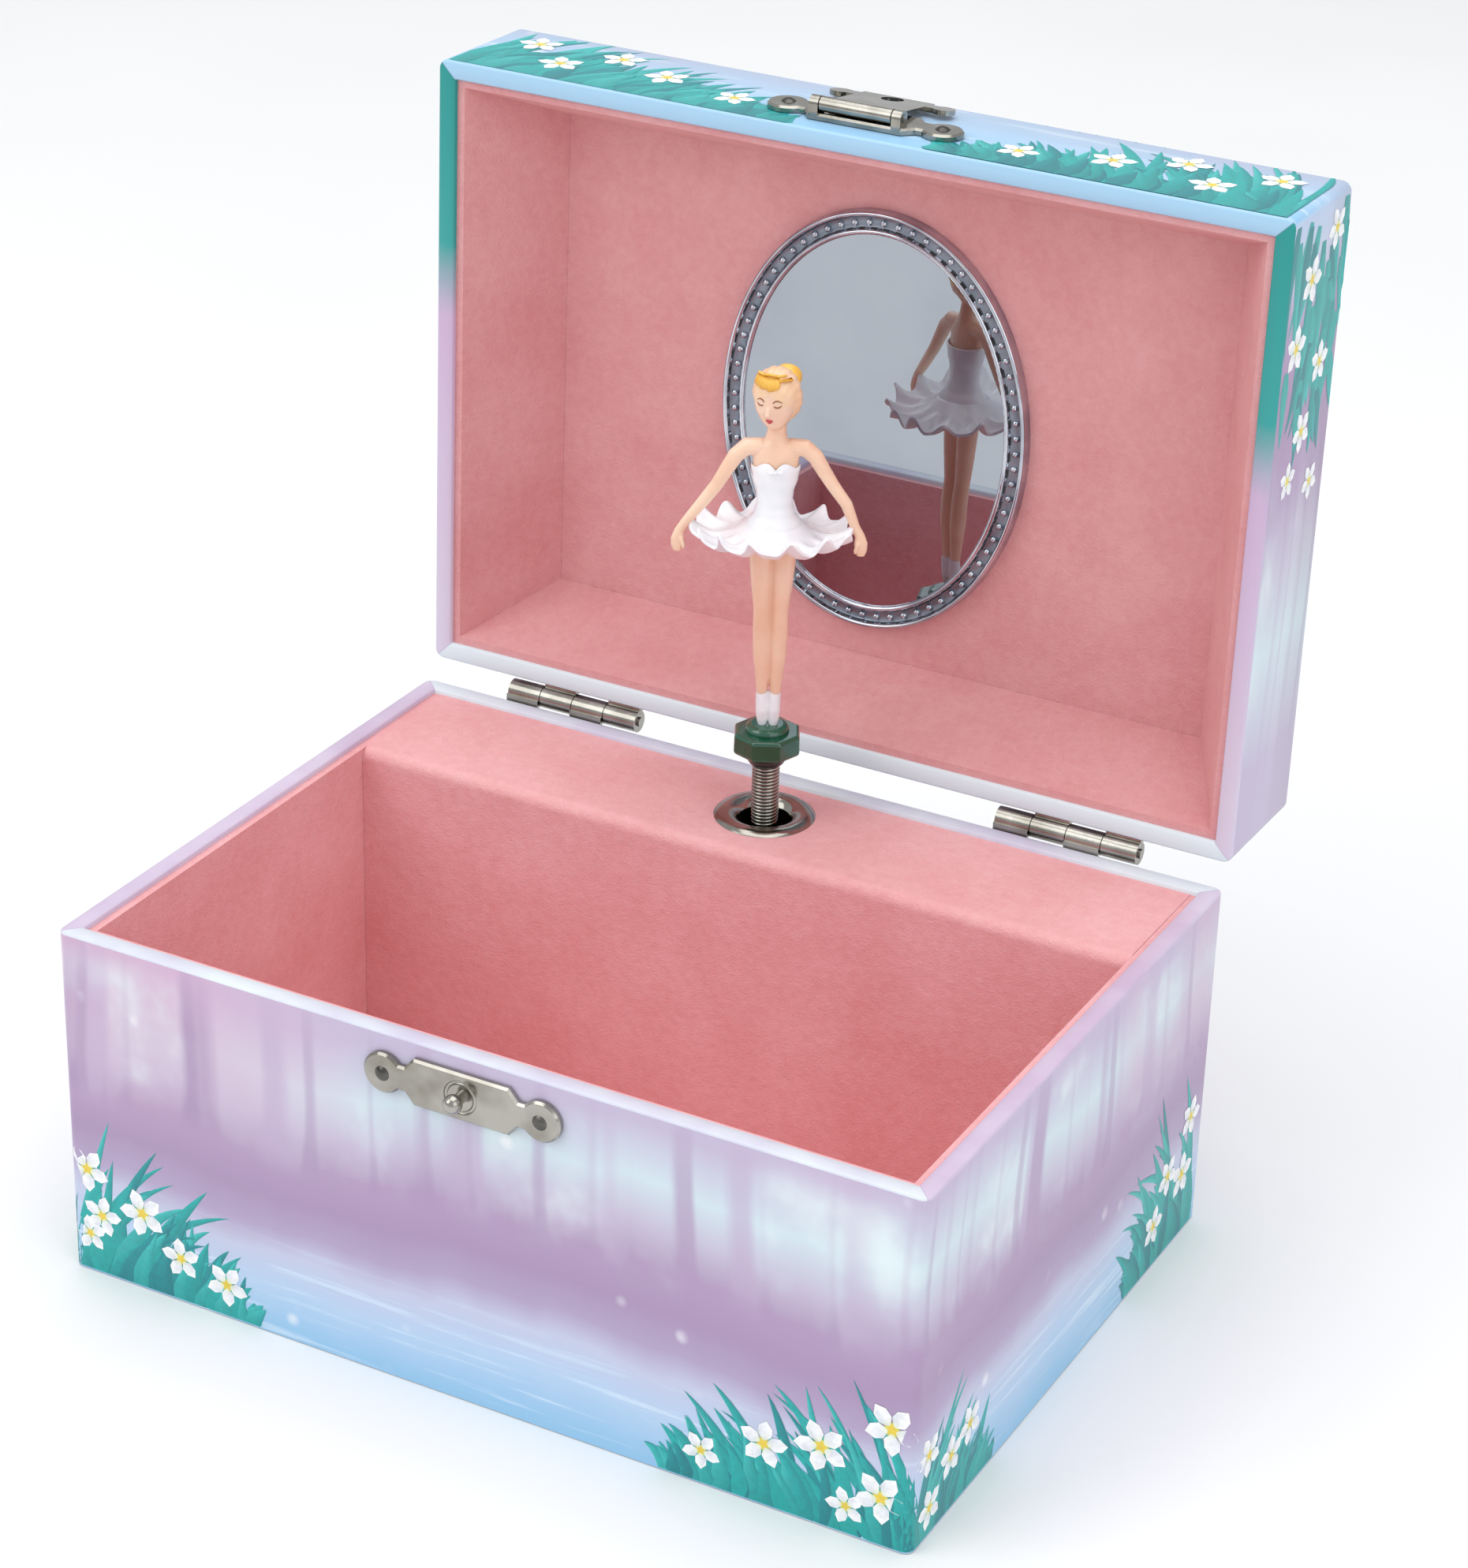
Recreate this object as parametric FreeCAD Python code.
"""Wind-up music box: a card-covered wooden case with a hinged lid, mirror, folding dancer and
an 18-note spring movement.

Millimetres, +Z up. The origin is the centre of the base's underside, the front faces -Y and
+X is to the right. The lid's pieces are built closed and then turned open about the hinge.
"""
import FreeCAD, Part
import math
import os
from FreeCAD import Vector as V

# ---------------------------------------------------------------- driving dimensions
# case
WIDTH = 150.0
DEPTH = 107.0
BASE_HEIGHT = 61.0
LID_HEIGHT = 23.7
BOARD = 2.95              # thickness of the wooden boards
PAPER = 0.25              # printed paper glued over the boards
CORNER_R = 1.8            # rounding of the upright corners
RIM_GAP = 0.4             # gap between the closed lid and the base
LINING = 1.4              # flocked card inside the walls
LINING_DROP = 0.9         # how far the lining stops below the rim
GLUE_GAP = 0.05           # room left between glued pieces
OPEN_ANGLE = 91.5         # how far the stop hinges let the lid open

# platform over the movement
PLATFORM_DROP = 0.8       # platform top below the rim
PLATFORM_FRONT_Y = 25.4   # front face of the platform
PLATFORM_T = 2.2
PLATFORM_EDGE_R = 2.0
EYELET_R = 8.4
EYELET_HOLE_R = 4.4
EYELET_RISE = 0.7

# lid tray and mirror
TRAY_INSET_X = 9.7        # how far the sloping walls lean in, left and right
TRAY_INSET_Y = 7.0        # the same, front and back
TRAY_PANEL_T = 1.7
MIRROR_X = -1.2
MIRROR_HALF_W = 28.0
MIRROR_HALF_H = 36.3
MIRROR_RING = 4.2         # width of the frame's face
MIRROR_FRAME_H = 2.2
GLASS_T = 1.2
GLASS_LAP = 0.9           # how far the frame laps over the glass

# hinges
HINGE_X = 46.5
HINGE_LENGTH = 25.2
KNUCKLES = 4
KNUCKLE_R = 1.9
KNUCKLE_GAP = 0.15
PIN_R = 0.8
PIN_CLEARANCE = 0.05
LEAF_T = 0.65
LEAF_DROP = 9.0
HINGE_OFFSET_Y = 2.35     # axis behind the back face
HINGE_OFFSET_Z = 0.9      # axis above the base's rim
SWEEP_CLEARANCE = 0.4
NAIL_R = 0.55
NAIL_HEAD_R = 1.25
NAIL_HEAD_H = 0.55
NAIL_LENGTH = 2.2
LEAF_NAIL_SPACING = 15.0

# clasp
CLASP_X = -1.0
CATCH_DROP = 6.4          # catch plate's centre line below the rim
HASP_RISE = 8.3           # hasp plate's centre line above the lid's rim
CLASP_BODY = 16.4
CLASP_HEIGHT = 8.0
CLASP_EAR_SPACING = 27.2
CLASP_EAR_R = 3.4
CLASP_T = 1.0
STUD_NECK_R = 0.95
STUD_BALL_R = 1.5
HASP_T = 0.8
HASP_WIDTH = 12.5
HASP_EAR_SPAN = 22.0
HASP_HOLE_CLEARANCE = 0.35
HASP_PIN_R = 0.6
HASP_KNUCKLE_R = 1.25
HASP_OPEN_ANGLE = 187.0    # how far the hasp stands from its closed place

# movement
AXIS_X = -0.8             # dancer's and cylinder's upright axis
AXIS_Y = 39.4
BEDPLATE_T = 1.5
BEDPLATE_W = 52.0
BARREL_Z = 16.5
BARREL_R = 8.8
BARREL_FRONT_Y = 31.0
BARREL_WALL = 0.8
CROWN_R = 10.35           # pitch circle of the great wheel's face teeth
CROWN_TEETH = 36
CROWN_WHEEL_R = 12.0
CROWN_WHEEL_T = 1.6
CROWN_PINION_TEETH = 16
CROWN_PINION_T = 2.4
ARBOR_R = 1.5
RUN = 0.05                # radial running clearance of shafts
RATCHET_R = 6.0
RATCHET_TEETH = 12
RATCHET_T = 1.2
CYLINDER_R = 6.2
CYLINDER_Z0 = 30.3
CYLINDER_L = 16.2
PIN_HEIGHT = 0.6
PIN_WIRE_R = 0.22
NOTES = 18
SPINDLE_R = 1.2
COMB_T = 0.8
COMB_CLEARANCE = 0.12
COMB_TOOTH_L = 13.0
COMB_BLOCK_W = 8.0
COMB_SLOT = 0.14
GOV_MODULE = 0.35
GOV_GEAR_TEETH = 32
GOV_PINION_TEETH = 8
GOV_GEAR_T = 1.2
WORM_WHEEL_TEETH = 12
WORM_MODULE = 0.45
WORM_R = 1.6              # worm's share of the distance to its wheel
WORM_TIP_R = 1.2
FAN_R = 4.5
KEY_GAP = 1.0             # key boss behind the back face
KEY_SPAN = 22.0
KEY_HEIGHT = 11.0
KEY_T = 2.2

# dancer
SPRING_R = 2.3
SPRING_WIRE_R = 0.3
SPRING_SINK = 1.5         # how far the spring stands down in the eyelet
FERRULE_Z = 9.6           # heights above the platform
FERRULE_R = 3.3
PEDESTAL_Z = 11.5
PEDESTAL_R = 5.8
PEDESTAL_H = 5.5
TUTU_Z = 46.2
TUTU_R = 12.9
TUTU_H = 7.0
WAIST_Z = 58.2
SHOULDER_Z = 65.2
SHOULDER_HALF = 5.0
HAND_Z = 47.6
HAND_HALF = 14.6
HEAD_Z = 73.0
HEAD_R = 4.1
HEAD_TALL = 5.1
FACING = 27.5             # turn of the resting dancer towards the right

# ---------------------------------------------------------------- derived places
WALL = BOARD + PAPER
INNER_X = WIDTH / 2 - WALL
INNER_Y = DEPTH / 2 - WALL
LINED_X = INNER_X - LINING
LINED_Y = INNER_Y - LINING
PLATFORM_Z = BASE_HEIGHT - PLATFORM_DROP
LID_Z0 = BASE_HEIGHT + RIM_GAP
LID_Z1 = LID_Z0 + LID_HEIGHT
PANEL_Z = LID_Z1 - WALL - TRAY_PANEL_T
HINGE_Y = DEPTH / 2 + HINGE_OFFSET_Y
HINGE_Z = BASE_HEIGHT + HINGE_OFFSET_Z
FLOOR_TOP = BOARD
BEDPLATE_Y0 = INNER_Y - BEDPLATE_T - GLUE_GAP
CROWN_PITCH_Y = CROWN_R * CROWN_PINION_TEETH / CROWN_TEETH
CROWN_Z = BARREL_Z + CROWN_R
WHEEL_Y0 = AXIS_Y + CROWN_PITCH_Y + 0.9
CYLINDER_Z1 = CYLINDER_Z0 + CYLINDER_L
GOV_GEAR_R = GOV_MODULE * GOV_GEAR_TEETH / 2
GOV_PINION_R = GOV_MODULE * GOV_PINION_TEETH / 2
GOV_X = AXIS_X - GOV_GEAR_R - GOV_PINION_R
GOV_GEAR_Z0 = CYLINDER_Z1 + 1.5
WORM_WHEEL_R = WORM_MODULE * WORM_WHEEL_TEETH / 2
WORM_WHEEL_Z0 = GOV_GEAR_Z0 + 2.2
WORM_X = GOV_X - WORM_WHEEL_R - WORM_R
WORM_Z = WORM_WHEEL_Z0 + 0.7

X_AXIS = V(1, 0, 0)
Y_AXIS = V(0, 1, 0)
Z_AXIS = V(0, 0, 1)


# ---------------------------------------------------------------- shape helpers
def box(x0, x1, y0, y1, z0, z1):
    """A block between two corners."""
    return Part.makeBox(x1 - x0, y1 - y0, z1 - z0, V(x0, y0, z0))


def rod(radius, start, direction, length):
    """A round bar from a point along a direction."""
    return Part.makeCylinder(radius, length, start, direction)


def tube(outer, inner, start, direction, length):
    """A round tube from a point along a direction."""
    return rod(outer, start, direction, length).cut(rod(inner, start, direction, length))


def rounded_block(half_x, half_y, z0, z1, radius):
    """An upright block with its four upright edges rounded."""
    block = box(-half_x, half_x, -half_y, half_y, z0, z1)
    upright = []
    for edge in block.Edges:
        along = edge.Vertexes[1].Point - edge.Vertexes[0].Point
        if abs(along.z) > 0.5 * (z1 - z0):
            upright.append(edge)
    return block.makeFillet(radius, upright)


def prism(points, height):
    """A flat outline of (x, y) points, extruded up from z = 0."""
    corners = [V(x, y, 0) for x, y in points]
    wire = Part.makePolygon(corners + [corners[0]])
    return Part.Face(wire).extrude(V(0, 0, height))


def hexahedron(front, back):
    """A solid between two four-cornered faces whose corners are listed in the same order."""
    faces = [front, list(reversed(back))]
    for i in range(4):
        j = (i + 1) % 4
        faces.append([front[j], front[i], back[i], back[j]])
    sheets = [Part.Face(Part.makePolygon(corners + [corners[0]])) for corners in faces]
    solid = Part.Solid(Part.Shell(sheets))
    solid.fix(0.01, 0.01, 0.01)
    if solid.Volume < 0:
        solid.reverse()
    return solid


def oval(half_x, half_y, z0, z1):
    """An upright oval block, taller in Y than in X, about the origin."""
    curve = Part.Ellipse(V(0, 0, 0), half_y, half_x).toShape()
    face = Part.Face(Part.Wire([curve]))
    block = face.extrude(V(0, 0, z1 - z0))
    block.rotate(V(0, 0, 0), Z_AXIS, 90)
    block.translate(V(0, 0, z0))
    return block


def gear(teeth, pitch_r, addendum, dedendum, thickness, fill=0.42):
    """A spur gear about Z from z = 0 with straight-sided teeth, one tooth pointing along +Y."""
    step = 2 * math.pi / teeth
    outline = []
    for i in range(teeth):
        middle = math.pi / 2 + i * step
        half_root = step * (fill / 2 + 0.1)
        half_tip = step * (fill / 2 - 0.09)
        root = pitch_r - dedendum
        tip = pitch_r + addendum
        for radius, angle in ((root, -half_root), (tip, -half_tip), (tip, half_tip), (root, half_root)):
            outline.append((radius * math.cos(middle + angle), radius * math.sin(middle + angle)))
    return prism(outline, thickness)


def moved(shape, x, y, z):
    """The shape shifted by x, y and z."""
    copy = shape.copy()
    copy.translate(V(x, y, z))
    return copy


def turned(shape, centre, axis, angle):
    """The shape turned about an axis through a point."""
    copy = shape.copy()
    copy.rotate(centre, axis, angle)
    return copy


def fused(shapes):
    """One solid from touching shapes."""
    return shapes[0].multiFuse(shapes[1:]).removeSplitter()


def group(shapes):
    """Separate solids that share one node."""
    return Part.makeCompound(shapes)


def opened(shape):
    """A lid piece turned from closed to the open stop."""
    return turned(shape, V(0, HINGE_Y, HINGE_Z), X_AXIS, -OPEN_ANGLE)


def nail(x, surface, z, out):
    """A round-headed nail in a face across Y; out is -1 for the front and 1 for the back."""
    shank = rod(NAIL_R, V(x, surface - out * NAIL_LENGTH, z), V(0, out, 0), NAIL_LENGTH)
    dome_r = (NAIL_HEAD_R ** 2 + NAIL_HEAD_H ** 2) / (2 * NAIL_HEAD_H)
    ball = Part.makeSphere(dome_r, V(x, surface - out * (dome_r - NAIL_HEAD_H), z))
    start = V(x, surface, z)
    head = ball.common(rod(NAIL_HEAD_R * 1.01, start, V(0, out, 0), NAIL_HEAD_H * 1.01))
    return shank.fuse(head)


def nail_hole(x, surface, z, out):
    """The hole that a nail's shank is driven into."""
    depth = NAIL_LENGTH + GLUE_GAP
    start = V(x, surface - out * depth, z)
    return rod(NAIL_R + GLUE_GAP, start, V(0, out, 0), 2 * depth)


PARTS = {}


def keep(name, shape):
    """Put a finished shape on the list of nodes."""
    PARTS[name] = shape


# ---------------------------------------------------------------- fastener places
def leaf_nail_places():
    """x places of the nails in every hinge leaf."""
    places = []
    for side in (-1, 1):
        for end in (-1, 1):
            places.append(side * HINGE_X + end * LEAF_NAIL_SPACING / 2)
    return places


LEAF_NAIL_DROP = 0.62 * LEAF_DROP
BASE_NAIL_Z = BASE_HEIGHT - LEAF_NAIL_DROP
LID_NAIL_Z = 2 * HINGE_Z - BASE_NAIL_Z
BACK_FACE = DEPTH / 2
FRONT_FACE = -DEPTH / 2
CATCH_Z = BASE_HEIGHT - CATCH_DROP
HASP_PLATE_Z = LID_Z0 + HASP_RISE
CLASP_NAIL_X = [CLASP_X - CLASP_EAR_SPACING / 2, CLASP_X + CLASP_EAR_SPACING / 2]
MOVEMENT_SCREW_R = 1.2
MOVEMENT_SCREW_X = BEDPLATE_W / 2 - 4.0
MOVEMENT_SCREW_Z = (10.0, 46.0)


def movement_screw_places():
    """x and z of the screws that hold the movement to the back wall."""
    places = []
    for side in (-1, 1):
        for z in MOVEMENT_SCREW_Z:
            places.append((AXIS_X + side * MOVEMENT_SCREW_X, z))
    return places


# ---------------------------------------------------------------- case
def make_walls(prefix, z0, z1):
    """Front, back, left and right boards of a box open at z0 and z1."""
    envelope = rounded_block(WIDTH / 2 - PAPER, DEPTH / 2 - PAPER, z0, z1, CORNER_R - PAPER)
    outer_x = WIDTH / 2 - PAPER
    outer_y = DEPTH / 2 - PAPER
    walls = {
        prefix + "_front_board": box(-INNER_X, INNER_X, -outer_y, -INNER_Y, z0, z1),
        prefix + "_back_board": box(-INNER_X, INNER_X, INNER_Y, outer_y, z0, z1),
        prefix + "_left_board": box(-outer_x, -INNER_X, -outer_y, outer_y, z0, z1),
        prefix + "_right_board": box(INNER_X, outer_x, -outer_y, outer_y, z0, z1),
    }
    return {name: board.common(envelope) for name, board in walls.items()}


def make_skin(z0, z1, rim_z, rim_out):
    """Paper round the outside from z0 to z1 and over the rim at rim_z; rim_out is its way out."""
    outside = rounded_block(WIDTH / 2, DEPTH / 2, z0, z1, CORNER_R)
    inside = rounded_block(WIDTH / 2 - PAPER, DEPTH / 2 - PAPER, z0 - 1, z1 + 1, CORNER_R - PAPER)
    band = outside.cut(inside)
    low = min(rim_z, rim_z - rim_out * PAPER)
    rim = rounded_block(WIDTH / 2, DEPTH / 2, low, low + PAPER, CORNER_R)
    rim = rim.cut(box(-INNER_X, INNER_X, -INNER_Y, INNER_Y, low - 1, low + 1))
    return band.fuse(rim).removeSplitter()


def make_base():
    """Boards, paper, linings and platform of the base."""
    walls = make_walls("base", 0, BASE_HEIGHT - PAPER)
    holes = [nail_hole(x, BACK_FACE, BASE_NAIL_Z, 1) for x in leaf_nail_places()]
    for x, z in movement_screw_places():
        holes.append(rod(MOVEMENT_SCREW_R + RUN, V(x, INNER_Y - 1, z), Y_AXIS, 2 * WALL))
    holes.append(rod(ARBOR_R + 1.0, V(AXIS_X, INNER_Y - 1, BARREL_Z), Y_AXIS, 2 * WALL))
    back_holes = group(holes)
    front_holes = group([nail_hole(x, FRONT_FACE, CATCH_Z, -1) for x in CLASP_NAIL_X])
    skin = make_skin(0.3, BASE_HEIGHT, BASE_HEIGHT, 1)
    walls["base_back_board"] = walls["base_back_board"].cut(back_holes)
    walls["base_front_board"] = walls["base_front_board"].cut(front_holes)
    for name, board in walls.items():
        keep(name, board)
    keep("base_paper", skin.cut(back_holes).cut(front_holes))
    keep("base_floor_board", box(-INNER_X, INNER_X, -INNER_Y, INNER_Y, 0, FLOOR_TOP))
    top = BASE_HEIGHT - LINING_DROP
    front = box(-INNER_X, INNER_X, -INNER_Y, -LINED_Y, FLOOR_TOP, top)
    left = box(-INNER_X, -LINED_X, -LINED_Y, INNER_Y, FLOOR_TOP, top)
    right = box(LINED_X, INNER_X, -LINED_Y, INNER_Y, FLOOR_TOP, top)
    keep("base_wall_lining", group([front, left, right]))
    reach = LINED_X - GLUE_GAP
    floor_y1 = PLATFORM_FRONT_Y - GLUE_GAP
    floor_y0 = -LINED_Y + GLUE_GAP
    keep("base_floor_lining", box(-reach, reach, floor_y0, floor_y1, FLOOR_TOP, FLOOR_TOP + LINING))
    make_platform()


def make_platform():
    """Front panel and top panel of the ledge that hides the movement, and its eyelet."""
    reach = LINED_X - GLUE_GAP
    under = PLATFORM_Z - PLATFORM_T
    y0 = PLATFORM_FRONT_Y
    keep("platform_front_panel", box(-reach, reach, y0, y0 + PLATFORM_T, FLOOR_TOP, under))
    top = box(-reach, reach, y0, INNER_Y - GLUE_GAP, under, PLATFORM_Z)
    edge = [e for e in top.Edges if e.CenterOfMass.y < y0 + 0.01 and e.CenterOfMass.z > PLATFORM_Z - 0.01]
    top = top.makeFillet(PLATFORM_EDGE_R, edge)
    centre = V(AXIS_X, AXIS_Y, under - 1)
    barrel_r = EYELET_HOLE_R + 0.5
    top = top.cut(rod(barrel_r + GLUE_GAP, centre, Z_AXIS, PLATFORM_T + 2))
    keep("platform_top_panel", top)
    profile = Part.Wire([
        Part.LineSegment(V(EYELET_HOLE_R, 0, -PLATFORM_T - 0.4), V(barrel_r, 0, -PLATFORM_T - 0.4)).toShape(),
        Part.LineSegment(V(barrel_r, 0, -PLATFORM_T - 0.4), V(barrel_r, 0, GLUE_GAP)).toShape(),
        Part.LineSegment(V(barrel_r, 0, GLUE_GAP), V(EYELET_R, 0, GLUE_GAP)).toShape(),
        Part.Arc(
            V(EYELET_R, 0, GLUE_GAP),
            V((EYELET_R + EYELET_HOLE_R) / 2 + 0.9, 0, EYELET_RISE),
            V(EYELET_HOLE_R, 0, -0.6),
        ).toShape(),
        Part.LineSegment(V(EYELET_HOLE_R, 0, -0.6), V(EYELET_HOLE_R, 0, -PLATFORM_T - 0.4)).toShape(),
    ])
    ring = Part.Face(profile).revolve(V(0, 0, 0), Z_AXIS, 360)
    keep("spindle_eyelet", moved(ring, AXIS_X, AXIS_Y, PLATFORM_Z))


def make_lid():
    """Boards, paper, sloping tray and mirror of the lid."""
    walls = make_walls("lid", LID_Z0 + PAPER, LID_Z1 - PAPER)
    back_holes = group([nail_hole(x, BACK_FACE, LID_NAIL_Z, 1) for x in leaf_nail_places()])
    front_holes = group([nail_hole(x, FRONT_FACE, HASP_PLATE_Z, -1) for x in CLASP_NAIL_X])
    walls["lid_back_board"] = walls["lid_back_board"].cut(back_holes)
    walls["lid_front_board"] = walls["lid_front_board"].cut(front_holes)
    for name, board in walls.items():
        keep(name, opened(board))
    skin = make_skin(LID_Z0, LID_Z1, LID_Z0, -1)
    cover = rounded_block(WIDTH / 2, DEPTH / 2, LID_Z1 - PAPER, LID_Z1, CORNER_R)
    skin = skin.fuse(cover).removeSplitter()
    keep("lid_paper", opened(skin.cut(back_holes).cut(front_holes)))
    top = box(-INNER_X, INNER_X, -INNER_Y, INNER_Y, LID_Z1 - WALL, LID_Z1 - PAPER)
    keep("lid_top_board", opened(top))
    panel_x = LINED_X - TRAY_INSET_X
    panel_y = LINED_Y - TRAY_INSET_Y
    edge_x = panel_x + LINING
    edge_y = panel_y + LINING
    panel_top = LID_Z1 - WALL - GLUE_GAP
    keep("lid_panel_lining", opened(box(-edge_x, edge_x, -edge_y, edge_y, PANEL_Z, panel_top)))
    rim_z = LID_Z0 + LINING_DROP
    low_z = PANEL_Z - GLUE_GAP
    sides = []
    for i in range(4):
        turns = [(1, 1), (-1, 1), (-1, -1), (1, -1)]
        ax, ay = turns[i]
        bx, by = turns[(i + 1) % 4]
        front = [
            V(ax * LINED_X, ay * LINED_Y, rim_z), V(bx * LINED_X, by * LINED_Y, rim_z),
            V(bx * panel_x, by * panel_y, low_z), V(ax * panel_x, ay * panel_y, low_z),
        ]
        back = [
            V(ax * INNER_X, ay * INNER_Y, rim_z), V(bx * INNER_X, by * INNER_Y, rim_z),
            V(bx * edge_x, by * edge_y, low_z), V(ax * edge_x, ay * edge_y, low_z),
        ]
        sides.append(hexahedron(front, back))
    keep("lid_wall_lining", opened(group(sides)))
    make_mirror()


def make_mirror():
    """Oval frame and glass on the lid's panel; built downwards from the panel's face."""
    outer = oval(MIRROR_HALF_W, MIRROR_HALF_H, -MIRROR_FRAME_H, 0)
    open_x = MIRROR_HALF_W - MIRROR_RING
    open_y = MIRROR_HALF_H - MIRROR_RING
    frame = outer.cut(oval(open_x, open_y, -MIRROR_FRAME_H - 1, 1))
    frame = frame.cut(oval(open_x + GLASS_LAP, open_y + GLASS_LAP, -GLASS_T - GLUE_GAP, 1))
    groove_out = oval(MIRROR_HALF_W - 0.9, MIRROR_HALF_H - 0.9, -MIRROR_FRAME_H - 1, -MIRROR_FRAME_H + 0.6)
    groove = groove_out.cut(oval(open_x + 0.8, open_y + 0.8, -MIRROR_FRAME_H - 2, 0))
    frame = frame.cut(groove)
    glass_x = open_x + GLASS_LAP - GLUE_GAP
    glass_y = open_y + GLASS_LAP - GLUE_GAP
    glass = oval(glass_x, glass_y, -GLASS_T, 0)
    low = PANEL_Z - GLUE_GAP
    keep("mirror_frame", opened(moved(frame, MIRROR_X, 0, low)))
    keep("mirror_glass", opened(moved(glass, MIRROR_X, 0, low)))


# ---------------------------------------------------------------- hinges
def make_leaf(side, first_knuckle, up):
    """One hinge leaf with its knuckles; up is -1 for the base's leaf and 1 for the lid's."""
    x0 = side * HINGE_X - HINGE_LENGTH / 2
    pitch = HINGE_LENGTH / KNUCKLES
    end = HINGE_Z + up * (HINGE_OFFSET_Z + LEAF_DROP)
    near = HINGE_Z + up * (KNUCKLE_R + SWEEP_CLEARANCE)
    plate = box(x0, x0 + HINGE_LENGTH, BACK_FACE, BACK_FACE + LEAF_T, min(end, near), max(end, near))
    pieces = [plate]
    for i in range(first_knuckle, KNUCKLES, 2):
        k0 = x0 + i * pitch + KNUCKLE_GAP / 2
        k1 = k0 + pitch - KNUCKLE_GAP
        pieces.append(rod(KNUCKLE_R, V(k0, HINGE_Y, HINGE_Z), X_AXIS, k1 - k0))
        low = min(HINGE_Z, near + up * 0.5)
        high = max(HINGE_Z, near + up * 0.5)
        pieces.append(box(k0, k1, BACK_FACE, BACK_FACE + LEAF_T, low, high))
    leaf = fused(pieces)
    leaf = leaf.cut(rod(PIN_R + PIN_CLEARANCE, V(x0 - 1, HINGE_Y, HINGE_Z), X_AXIS, HINGE_LENGTH + 2))
    nail_z = BASE_NAIL_Z if up < 0 else LID_NAIL_Z
    for x in leaf_nail_places():
        leaf = leaf.cut(nail_hole(x, BACK_FACE, nail_z, 1))
    return leaf


def make_hinges():
    """Both hinges: leaves, pins and nails."""
    keep("hinge_base_leaves", group([make_leaf(side, 0, -1) for side in (-1, 1)]))
    keep("hinge_lid_leaves", opened(group([make_leaf(side, 1, 1) for side in (-1, 1)])))
    pins = []
    for side in (-1, 1):
        start = V(side * HINGE_X - HINGE_LENGTH / 2 - 0.3, HINGE_Y, HINGE_Z)
        pins.append(rod(PIN_R, start, X_AXIS, HINGE_LENGTH + 0.6))
    keep("hinge_pins", group(pins))
    seat = BACK_FACE + LEAF_T
    keep("hinge_base_nails", group([nail(x, seat, BASE_NAIL_Z, 1) for x in leaf_nail_places()]))
    lid_nails = group([nail(x, seat, LID_NAIL_Z, 1) for x in leaf_nail_places()])
    keep("hinge_lid_nails", opened(lid_nails))


# ---------------------------------------------------------------- clasp
def clasp_outline():
    """Flat outline of a clasp plate: a body, two notched shoulders and two round ears."""
    half = CLASP_BODY / 2
    rise = CLASP_HEIGHT / 2
    ear = CLASP_EAR_SPACING / 2
    lean = math.radians(50)
    neck_y = CLASP_EAR_R * math.sin(lean)
    neck_x = ear - CLASP_EAR_R * math.cos(lean)
    notch_y = neck_y - 0.5
    edges = []
    right = [(half, rise), (half + 1.6, notch_y), (neck_x - 0.5, notch_y), (neck_x, neck_y)]
    top = [V(-half, rise, 0)] + [V(x, y, 0) for x, y in right]
    for a, b in zip(top[:-1], top[1:]):
        edges.append(Part.LineSegment(a, b).toShape())
    tip = V(ear + CLASP_EAR_R, 0, 0)
    edges.append(Part.Arc(V(neck_x, neck_y, 0), tip, V(neck_x, -neck_y, 0)).toShape())
    bottom = [V(x, -y, 0) for x, y in reversed(right)] + [V(-half, -rise, 0)]
    for a, b in zip(bottom[:-1], bottom[1:]):
        edges.append(Part.LineSegment(a, b).toShape())
    left_low = [V(-x, -y, 0) for x, y in right]
    for a, b in zip(left_low[:-1], left_low[1:]):
        edges.append(Part.LineSegment(a, b).toShape())
    edges.append(Part.Arc(V(-neck_x, -neck_y, 0), V(-tip.x, 0, 0), V(-neck_x, neck_y, 0)).toShape())
    left_high = [V(-x, y, 0) for x, y in reversed(right)]
    for a, b in zip(left_high[:-1], left_high[1:]):
        edges.append(Part.LineSegment(a, b).toShape())
    return Part.Wire(edges)


def clasp_plate(z):
    """A stamped plate on a front face, its outer edge bevelled, centred at height z."""
    plate = Part.Face(clasp_outline()).extrude(V(0, 0, CLASP_T))
    rim = [e for e in plate.Edges if e.CenterOfMass.z > CLASP_T - 0.01]
    plate = plate.makeChamfer(0.35, rim)
    plate = turned(plate, V(0, 0, 0), X_AXIS, 90)
    return moved(plate, CLASP_X, FRONT_FACE, z)


def hasp_axis():
    """The line of the hasp's pin on the closed lid: its y and z."""
    y = FRONT_FACE - CLASP_T - HASP_KNUCKLE_R - 0.15
    return y, HASP_PLATE_Z - CLASP_HEIGHT / 2 + HASP_KNUCKLE_R


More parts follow.
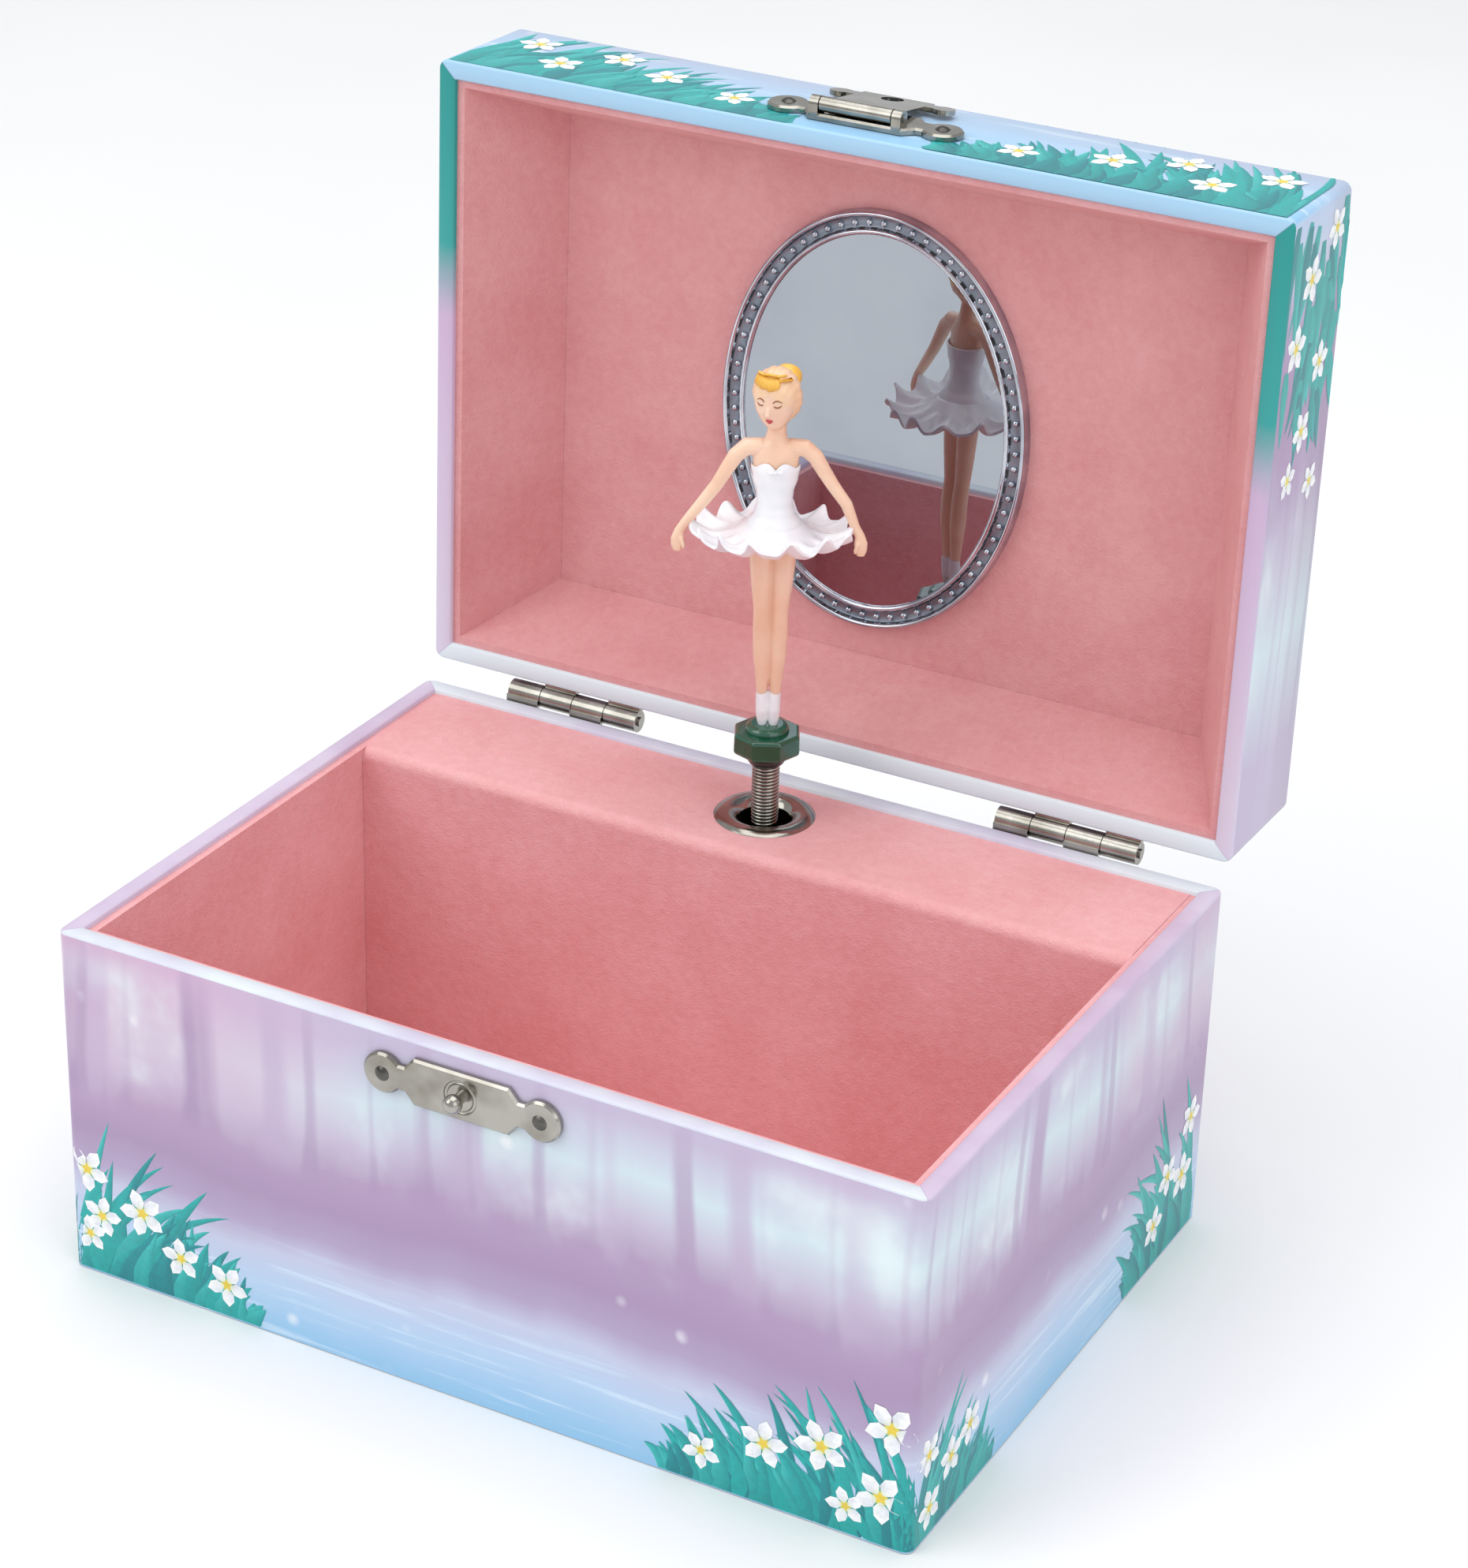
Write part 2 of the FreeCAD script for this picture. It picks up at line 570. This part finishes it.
def make_catch():
    """Catch plate, stud and nails on the base's front."""
    plate = clasp_plate(CATCH_Z)
    for x in CLASP_NAIL_X:
        plate = plate.cut(nail_hole(x, FRONT_FACE, CATCH_Z, -1))
    face = FRONT_FACE - CLASP_T
    dish = Part.makeTorus(STUD_BALL_R + 1.0, 0.35, V(CLASP_X, face, CATCH_Z), Y_AXIS)
    keep("catch_plate", plate.cut(dish))
    ball_y = face - 2.0
    neck = rod(STUD_NECK_R, V(CLASP_X, face, CATCH_Z), V(0, -1, 0), 2.0)
    ball = Part.makeSphere(STUD_BALL_R, V(CLASP_X, ball_y, CATCH_Z))
    foot = ball.common(box(-WIDTH, WIDTH, ball_y - 9, face, 0, 2 * BASE_HEIGHT))
    keep("catch_stud", neck.fuse(foot).removeSplitter())
    keep("catch_nails", group([nail(x, face, CATCH_Z, -1) for x in CLASP_NAIL_X]))


def make_hasp():
    """Hasp plate on the lid, and the swinging hasp with its pin."""
    axis_y, axis_z = hasp_axis()
    plate = clasp_plate(HASP_PLATE_Z)
    for x in CLASP_NAIL_X:
        plate = plate.cut(nail_hole(x, FRONT_FACE, HASP_PLATE_Z, -1))
    half = HASP_WIDTH / 2
    ear_w = 1.6
    lugs = []
    for x in (CLASP_X - half - 0.2 - ear_w, CLASP_X + half + 0.2):
        lug = rod(HASP_KNUCKLE_R, V(x, axis_y, axis_z), X_AXIS, ear_w)
        web = box(x, x + ear_w, axis_y, FRONT_FACE - 0.5, axis_z - HASP_KNUCKLE_R, axis_z + HASP_KNUCKLE_R)
        lugs.append(lug.fuse(web))
    plate = fused([plate] + lugs)
    bore_start = V(CLASP_X - half - 3, axis_y, axis_z)
    plate = plate.cut(rod(HASP_PIN_R + RUN, bore_start, X_AXIS, HASP_WIDTH + 6))
    keep("hasp_plate", opened(plate))
    face = FRONT_FACE - CLASP_T
    nails = group([nail(x, face, HASP_PLATE_Z, -1) for x in CLASP_NAIL_X])
    keep("hasp_plate_nails", opened(nails))
    pin_start = V(CLASP_X - half - ear_w - 0.4, axis_y, axis_z)
    keep("hasp_pin", opened(rod(HASP_PIN_R, pin_start, X_AXIS, HASP_WIDTH + 2 * ear_w + 0.8)))
    reach = axis_z - CATCH_Z
    ear_r = 1.9
    flat_y = axis_y - HASP_T / 2
    body = box(CLASP_X - half, CLASP_X + half, flat_y, flat_y + HASP_T, axis_z - reach - 2.6, axis_z)
    knuckle = rod(HASP_KNUCKLE_R, V(CLASP_X - half, axis_y, axis_z), X_AXIS, HASP_WIDTH)
    bar = box(
        CLASP_X - HASP_EAR_SPAN / 2 + ear_r, CLASP_X + HASP_EAR_SPAN / 2 - ear_r,
        flat_y, flat_y + HASP_T, CATCH_Z - 1.2, CATCH_Z + 1.2,
    )
    pieces = [body, knuckle, bar]
    for side in (-1, 1):
        x = CLASP_X + side * (HASP_EAR_SPAN / 2 - ear_r)
        pieces.append(rod(ear_r, V(x, flat_y, CATCH_Z), Y_AXIS, HASP_T))
    hasp = fused(pieces)
    hole = rod(STUD_BALL_R + HASP_HOLE_CLEARANCE, V(CLASP_X, axis_y - 3, CATCH_Z), Y_AXIS, 6)
    bore = rod(HASP_PIN_R + RUN, bore_start, X_AXIS, HASP_WIDTH + 6)
    hasp = hasp.cut(hole).cut(bore)
    hasp = turned(hasp, V(0, axis_y, axis_z), X_AXIS, -HASP_OPEN_ANGLE)
    keep("hasp", opened(hasp))


# ---------------------------------------------------------------- movement
def make_movement_frame():
    """Bedplate, bridge, comb, governor frame, click and screws: the still parts."""
    half = BEDPLATE_W / 2
    y0 = BEDPLATE_Y0
    plate = box(AXIS_X - half, AXIS_X + half, y0, y0 + BEDPLATE_T, FLOOR_TOP + 1.0, 54.0)
    plate = plate.cut(rod(ARBOR_R + RUN, V(AXIS_X, y0 - 1, BARREL_Z), Y_AXIS, 4))
    for x, z in movement_screw_places():
        plate = plate.cut(rod(MOVEMENT_SCREW_R + RUN, V(x, y0 - 1, z), Y_AXIS, 4))
    keep("movement_bedplate", plate)
    screws = []
    for x, z in movement_screw_places():
        shank = rod(MOVEMENT_SCREW_R, V(x, y0, z), Y_AXIS, BACK_FACE - y0 + 0.01)
        head = rod(2.4, V(x, BACK_FACE + 0.01, z), Y_AXIS, 1.3)
        slot = box(x - 2.5, x + 2.5, BACK_FACE + 0.8, BACK_FACE + 2, z - 0.3, z + 0.3)
        screws.append(shank.fuse(head).cut(slot))
    keep("movement_screws", group(screws))
    spine_y = y0 - GLUE_GAP
    low_tab_z = CROWN_Z + CROWN_PINION_T / 2 + 0.5
    high_tab_z = GOV_GEAR_Z0 + GOV_GEAR_T + 0.6
    arm = 3.4
    tab_t = 1.0
    front_y = AXIS_Y - arm
    bridge = fused([
        box(AXIS_X - arm, AXIS_X + arm, spine_y - 1.2, spine_y, low_tab_z, high_tab_z + tab_t),
        box(AXIS_X - arm, AXIS_X + arm, front_y, spine_y, low_tab_z, low_tab_z + tab_t),
        box(AXIS_X - arm, AXIS_X + arm, front_y, spine_y, high_tab_z, high_tab_z + tab_t),
    ])
    bridge = bridge.cut(rod(SPINDLE_R + RUN, V(AXIS_X, AXIS_Y, low_tab_z - 1), Z_AXIS, high_tab_z))
    keep("cylinder_bridge", bridge)
    make_comb(y0)
    make_governor_frame(y0)
    click_y = y0 - GLUE_GAP - RATCHET_T
    arm_z = BARREL_Z - RATCHET_R - 1.6
    click = box(AXIS_X + 1.0, AXIS_X + 9.0, click_y, click_y + RATCHET_T, arm_z, arm_z + 1.1)
    foot = rod(1.6, V(AXIS_X + 9.0, click_y, arm_z + 0.55), Y_AXIS, RATCHET_T)
    keep("ratchet_click", click.fuse(foot).removeSplitter())


def make_comb(plate_y):
    """The steel comb, its block and its screws."""
    face_y = AXIS_Y - CYLINDER_R - PIN_HEIGHT - COMB_CLEARANCE
    z0 = CYLINDER_Z0 + 0.3
    z1 = CYLINDER_Z1 - 0.3
    root_x = AXIS_X + COMB_TOOTH_L + 0.4
    block = box(root_x, root_x + COMB_BLOCK_W, face_y + GLUE_GAP, plate_y - GLUE_GAP, z0 - 1.5, z1 + 1.5)
    comb = box(AXIS_X - 0.4, root_x + COMB_BLOCK_W, face_y - COMB_T, face_y, z0, z1)
    pitch = (z1 - z0) / NOTES
    for i in range(1, NOTES):
        z = z0 + i * pitch
        slot_z = z - COMB_SLOT / 2
        comb = comb.cut(box(AXIS_X - 1, root_x, face_y - 2, face_y + 1, slot_z, slot_z + COMB_SLOT))
    screws = []
    for z in (z0 + 3.5, z1 - 3.5):
        x = root_x + COMB_BLOCK_W / 2
        hole = rod(0.9 + RUN, V(x, face_y - 2, z), Y_AXIS, 8)
        comb = comb.cut(hole)
        block = block.cut(hole)
        shank = rod(0.9, V(x, face_y - COMB_T, z), Y_AXIS, 5)
        head = rod(1.8, V(x, face_y - COMB_T - 1.0, z), Y_AXIS, 1.0)
        slot = box(x - 2, x + 2, face_y - COMB_T - 1.2, face_y - COMB_T - 0.6, z - 0.2, z + 0.2)
        screws.append(shank.fuse(head).cut(slot))
    keep("comb", comb)
    keep("comb_block", block)
    keep("comb_screws", group(screws))


def make_governor_frame(plate_y):
    """The bent frame that carries the intermediate wheel and the worm."""
    back_y = plate_y - GLUE_GAP
    low_z = CYLINDER_Z1 + 0.5
    high_z = WORM_WHEEL_Z0 + 2.0
    arm_t = 0.6
    front_y = AXIS_Y - 4.2
    right = GOV_X + 2.2
    left = GOV_X - 1.9
    outer = WORM_X - 2.6
    frame = fused([
        box(outer, right, back_y - 1.2, back_y, low_z, high_z + arm_t),
        box(left, right, front_y, back_y, low_z, low_z + arm_t),
        box(left, right, front_y, back_y, high_z, high_z + arm_t),
        box(outer, right, front_y - arm_t, front_y, low_z, high_z + arm_t),
    ])
    frame = frame.cut(rod(0.5 + RUN, V(GOV_X, AXIS_Y, low_z - 1), Z_AXIS, 12))
    frame = frame.cut(rod(0.5 + RUN, V(WORM_X, front_y - 3, WORM_Z), Y_AXIS, 20))
    keep("governor_frame", frame)


def make_winding():
    """Key, arbor and ratchet wheel: what the hand turns."""
    inner = BARREL_FRONT_Y + BARREL_WALL + 0.4
    key_y = BACK_FACE + KEY_GAP
    arbor = rod(ARBOR_R, V(AXIS_X, inner, BARREL_Z), Y_AXIS, key_y + 6 - inner)
    keep("winding_arbor", arbor)
    ratchet_y = BEDPLATE_Y0 - GLUE_GAP - RATCHET_T
    wheel = gear(RATCHET_TEETH, RATCHET_R - 0.5, 0.5, 0.5, RATCHET_T - 0.1)
    wheel = turned(wheel, V(0, 0, 0), X_AXIS, 90)
    wheel = turned(wheel, V(0, 0, 0), Y_AXIS, 180 / RATCHET_TEETH)
    wheel = moved(wheel, AXIS_X, ratchet_y + RATCHET_T - 0.05, BARREL_Z)
    wheel = wheel.cut(rod(ARBOR_R, V(AXIS_X, ratchet_y - 2, BARREL_Z), Y_AXIS, 6))
    keep("ratchet_wheel", wheel)
    boss = rod(3.2, V(AXIS_X, key_y, BARREL_Z), Y_AXIS, 6.5)
    wing_r = KEY_HEIGHT / 2
    wings = [boss]
    for side in (-1, 1):
        x = AXIS_X + side * (KEY_SPAN / 2 - wing_r)
        centre = V(x, key_y + 4.5 + wing_r, BARREL_Z - KEY_T / 2)
        wings.append(rod(wing_r, centre, Z_AXIS, KEY_T))
    bow_z = BARREL_Z - KEY_T / 2
    bridge = box(AXIS_X - 5, AXIS_X + 5, key_y + 3.5, key_y + 11.5, bow_z, bow_z + KEY_T)
    wings.append(bridge)
    key = fused(wings).cut(rod(ARBOR_R, V(AXIS_X, key_y - 1, BARREL_Z), Y_AXIS, 7))
    keep("winding_key", key)


def make_barrel():
    """Spring barrel, great wheel with face teeth, and mainspring."""
    y0 = BARREL_FRONT_Y
    y1 = WHEEL_Y0
    drum = rod(BARREL_R, V(AXIS_X, y0, BARREL_Z), Y_AXIS, y1 - y0)
    inside = rod(BARREL_R - BARREL_WALL, V(AXIS_X, y0 + BARREL_WALL, BARREL_Z), Y_AXIS, y1 - y0)
    keep("spring_barrel", drum.cut(inside))
    disc = rod(CROWN_WHEEL_R, V(AXIS_X, y1, BARREL_Z), Y_AXIS, CROWN_WHEEL_T)
    tooth_h = 1.35
    teeth = []
    step = 360.0 / CROWN_TEETH
    for i in range(CROWN_TEETH):
        tooth = box(-0.33, 0.33, y1 - tooth_h, y1 + 0.3, CROWN_R - 1.15, CROWN_WHEEL_R - 0.1)
        tooth = turned(tooth, V(0, 0, 0), Y_AXIS, (i + 0.5) * step)
        teeth.append(moved(tooth, AXIS_X, 0, BARREL_Z))
    wheel = fused([disc] + teeth)
    keep("great_wheel", wheel.cut(rod(ARBOR_R + RUN, V(AXIS_X, y1 - 3, BARREL_Z), Y_AXIS, 8)))
    turns = 5
    steps = turns * 12
    inner_r = ARBOR_R + 0.5
    outer_r = BARREL_R - BARREL_WALL - 0.5
    strip = 0.35
    inside_line = []
    outside_line = []
    for i in range(steps + 1):
        angle = 2 * math.pi * i / 12
        radius = inner_r + (outer_r - strip - inner_r) * i / steps
        inside_line.append(V(radius * math.cos(angle), 0, radius * math.sin(angle)))
        radius += strip
        outside_line.append(V(radius * math.cos(angle), 0, radius * math.sin(angle)))
    inner_curve = Part.BSplineCurve()
    inner_curve.interpolate(inside_line)
    outer_curve = Part.BSplineCurve()
    outer_curve.interpolate(outside_line)
    wire = Part.Wire([
        inner_curve.toShape(),
        Part.LineSegment(inside_line[-1], outside_line[-1]).toShape(),
        outer_curve.toShape(),
        Part.LineSegment(outside_line[0], inside_line[0]).toShape(),
    ])
    coil = Part.Face(wire).extrude(V(0, y1 - y0 - BARREL_WALL - 1.4, 0))
    keep("mainspring", moved(coil, AXIS_X, y0 + BARREL_WALL + 0.7, BARREL_Z))


def make_cylinder():
    """Pinned cylinder, its upright spindle and its two gears."""
    z0 = CYLINDER_Z0
    shell = tube(CYLINDER_R, CYLINDER_R - 0.8, V(0, 0, z0), Z_AXIS, CYLINDER_L)
    lids = [
        tube(CYLINDER_R - 0.4, SPINDLE_R, V(0, 0, z0), Z_AXIS, 1.0),
        tube(CYLINDER_R - 0.4, SPINDLE_R, V(0, 0, z0 + CYLINDER_L - 1.0), Z_AXIS, 1.0),
    ]
    pitch = (CYLINDER_L - 0.6) / NOTES
    pins = []
    for note in range(NOTES):
        z = z0 + 0.3 + (note + 0.5) * pitch
        for beat in range(4):
            angle = math.radians((note * 83 + beat * 97 + (note * beat * 29) % 61) % 360)
            way = V(math.cos(angle), math.sin(angle), 0)
            start = way * (CYLINDER_R - 0.3)
            pins.append(rod(PIN_WIRE_R, V(start.x, start.y, z), way, PIN_HEIGHT + 0.3))
    cylinder = fused([shell] + lids + pins)
    keep("music_cylinder", moved(cylinder, AXIS_X, AXIS_Y, 0))
    spindle_z0 = CROWN_Z - CROWN_PINION_T / 2 - 0.1
    spindle_z1 = PLATFORM_Z + 1.2
    keep("dancer_spindle", rod(SPINDLE_R, V(AXIS_X, AXIS_Y, spindle_z0), Z_AXIS, spindle_z1 - spindle_z0))
    pinion = gear(CROWN_PINION_TEETH, CROWN_PITCH_Y, 0.5, 0.75, CROWN_PINION_T, fill=0.38)
    pinion = pinion.cut(rod(SPINDLE_R, V(0, 0, -1), Z_AXIS, 5))
    keep("crown_pinion", moved(pinion, AXIS_X, AXIS_Y, CROWN_Z - CROWN_PINION_T / 2))
    wheel = gear(GOV_GEAR_TEETH, GOV_GEAR_R, 0.3, 0.42, GOV_GEAR_T)
    wheel = wheel.cut(rod(SPINDLE_R, V(0, 0, -1), Z_AXIS, 5))
    keep("governor_gear", moved(wheel, AXIS_X, AXIS_Y, GOV_GEAR_Z0))


def make_governor():
    """Intermediate wheel, and the worm with its air fan that holds the speed."""
    low_z = CYLINDER_Z1 + 0.3
    high_z = WORM_WHEEL_Z0 + 2.8
    arbor = rod(0.5, V(0, 0, low_z), Z_AXIS, high_z - low_z)
    pinion = gear(GOV_PINION_TEETH, GOV_PINION_R, 0.3, 0.45, GOV_GEAR_T)
    # a gap of the pinion has to face the gear, which has a tooth every quarter turn
    pinion = turned(pinion, V(0, 0, 0), Z_AXIS, 180.0 / GOV_PINION_TEETH)
    wheel = gear(WORM_WHEEL_TEETH, WORM_WHEEL_R, 0.35, 0.55, 1.4)
    pieces = [arbor, moved(pinion, 0, 0, GOV_GEAR_Z0), moved(wheel, 0, 0, WORM_WHEEL_Z0)]
    keep("intermediate_wheel", moved(fused(pieces), GOV_X, AXIS_Y, 0))
    thread_pitch = math.pi * WORM_MODULE
    front_y = AXIS_Y - 4.2
    shaft = rod(0.5, V(WORM_X, front_y - 6.2, WORM_Z), Y_AXIS, BEDPLATE_Y0 - front_y + 5.6)
    root = WORM_TIP_R - 0.5
    rings = [shaft, rod(root, V(WORM_X, AXIS_Y - 3.0, WORM_Z), Y_AXIS, 6.0)]
    for i in range(-2, 2):
        y = AXIS_Y + (i + 0.5) * thread_pitch
        lower = Part.makeCone(root, WORM_TIP_R, 0.3, V(WORM_X, y - 0.3, WORM_Z), Y_AXIS)
        upper = Part.makeCone(WORM_TIP_R, root, 0.3, V(WORM_X, y, WORM_Z), Y_AXIS)
        rings.append(lower.fuse(upper))
    keep("governor_worm", fused(rings))
    fan_y = front_y - 5.0
    hub = tube(1.2, 0.5, V(WORM_X, fan_y, WORM_Z), Y_AXIS, 3.0)
    blades = [hub]
    for side in (-1, 1):
        low = min(side * 1.0, side * FAN_R)
        blade_x = WORM_X + low
        blade = box(blade_x, blade_x + FAN_R - 1.0, fan_y, fan_y + 3.0, WORM_Z - 0.3, WORM_Z + 0.3)
        blades.append(blade)
    keep("governor_fan", fused(blades))


# ---------------------------------------------------------------- dancer
def standing(shape):
    """A dancer's piece turned to face the right way and stood on the platform's axis."""
    return moved(turned(shape, V(0, 0, 0), Z_AXIS, FACING), AXIS_X, AXIS_Y, PLATFORM_Z)


def limb(start, end, r0, r1):
    """A tapered limb with round ends."""
    along = end - start
    if r0 == r1:
        bone = rod(r0, start, along, along.Length)
    else:
        bone = Part.makeCone(r0, r1, along.Length, start, along)
    return [bone, Part.makeSphere(r0, start), Part.makeSphere(r1, end)]


def make_spring():
    """The close-wound spring the dancer stands on, as a sleeve of its outer size."""
    foot = V(AXIS_X, AXIS_Y, PLATFORM_Z - SPRING_SINK)
    height = FERRULE_Z + SPRING_SINK - GLUE_GAP
    bore_r = SPRING_R - 2 * SPRING_WIRE_R
    keep("dancer_spring", tube(SPRING_R, bore_r, foot, Z_AXIS, height))


def make_dancer():
    """Ferrule, pedestal, skirt and figure; each stands about Z with the face towards -Y."""
    ferrule = rod(FERRULE_R, V(0, 0, FERRULE_Z), Z_AXIS, PEDESTAL_Z - FERRULE_Z - GLUE_GAP)
    keep("dancer_ferrule", standing(ferrule))
    sides = 8
    ring = []
    for i in range(sides):
        angle = 2 * math.pi * (i + 0.5) / sides
        ring.append((PEDESTAL_R * math.cos(angle), PEDESTAL_R * math.sin(angle)))
    block = prism(ring, PEDESTAL_H - 1.2)
    step = rod(3.4, V(0, 0, PEDESTAL_H - 1.3), Z_AXIS, 1.3)
    keep("dancer_pedestal", standing(moved(fused([block, step]), 0, 0, PEDESTAL_Z)))
    feet = PEDESTAL_Z + PEDESTAL_H + GLUE_GAP
    pieces = []
    for side in (-1, 1):
        hip = V(side * 1.95, 0, TUTU_Z + 4)
        ankle = V(side * 1.15, 0, feet + 5.2)
        pieces += limb(ankle, hip, 1.35, 1.9)
        pieces.append(Part.makeCone(1.0, 1.35, 5.2, V(side * 1.15, -0.3, feet), Z_AXIS))
        shoulder = V(side * SHOULDER_HALF, 0, SHOULDER_Z)
        elbow = V(side * (HAND_HALF * 0.72), 0.4, (SHOULDER_Z + HAND_Z) / 2 + 0.6)
        hand = V(side * HAND_HALF, -0.8, HAND_Z)
        pieces += limb(shoulder, elbow, 1.25, 1.05)
        pieces += limb(elbow, hand, 1.05, 0.8)
    pieces.append(Part.makeCone(3.6, 2.9, WAIST_Z - TUTU_Z - 3, V(0, 0, TUTU_Z + 3), Z_AXIS))
    pieces.append(Part.makeCone(2.9, 4.2, SHOULDER_Z - WAIST_Z - 1, V(0, 0, WAIST_Z), Z_AXIS))
    pieces.append(Part.makeCone(4.2, 1.6, 2.4, V(0, 0, SHOULDER_Z - 1), Z_AXIS))
    pieces += limb(V(-SHOULDER_HALF, 0, SHOULDER_Z), V(SHOULDER_HALF, 0, SHOULDER_Z), 1.25, 1.25)
    pieces.append(rod(1.5, V(0, 0, SHOULDER_Z), Z_AXIS, HEAD_Z - SHOULDER_Z))
    head = Part.makeSphere(HEAD_R, V(0, 0, 0))
    stretch = FreeCAD.Matrix()
    stretch.scale(V(0.92, 1.0, HEAD_TALL / HEAD_R))
    head = moved(head.transformGeometry(stretch), 0, 0, HEAD_Z)
    pieces.append(head)
    pieces.append(Part.makeSphere(2.2, V(0, HEAD_R + 0.4, HEAD_Z + 1.8)))
    figure = fused(pieces)
    skirt_top_r = 3.9
    skirt = Part.makeCone(TUTU_R, skirt_top_r, TUTU_H, V(0, 0, TUTU_Z), Z_AXIS)
    hollow = Part.makeCone(TUTU_R - 1.6, skirt_top_r - 1.6, TUTU_H, V(0, 0, TUTU_Z - 1.2), Z_AXIS)
    keep("dancer_skirt", standing(skirt.cut(hollow).cut(figure)))
    keep("dancer_figure", standing(figure))


def main():
    """Build every piece and write one file per node."""
    make_base()
    make_lid()
    make_hinges()
    make_catch()
    make_hasp()
    make_movement_frame()
    make_winding()
    make_barrel()
    make_cylinder()
    make_governor()
    make_spring()
    make_dancer()
    os.makedirs("parts", exist_ok=True)
    for name, shape in PARTS.items():
        shape.exportStep("parts/" + name + ".step")
        solids = len(shape.Solids)
        print("%-24s solids %2d valid %s volume %9.1f" % (name, solids, shape.isValid(), shape.Volume))
    print(len(PARTS), "nodes")


main()
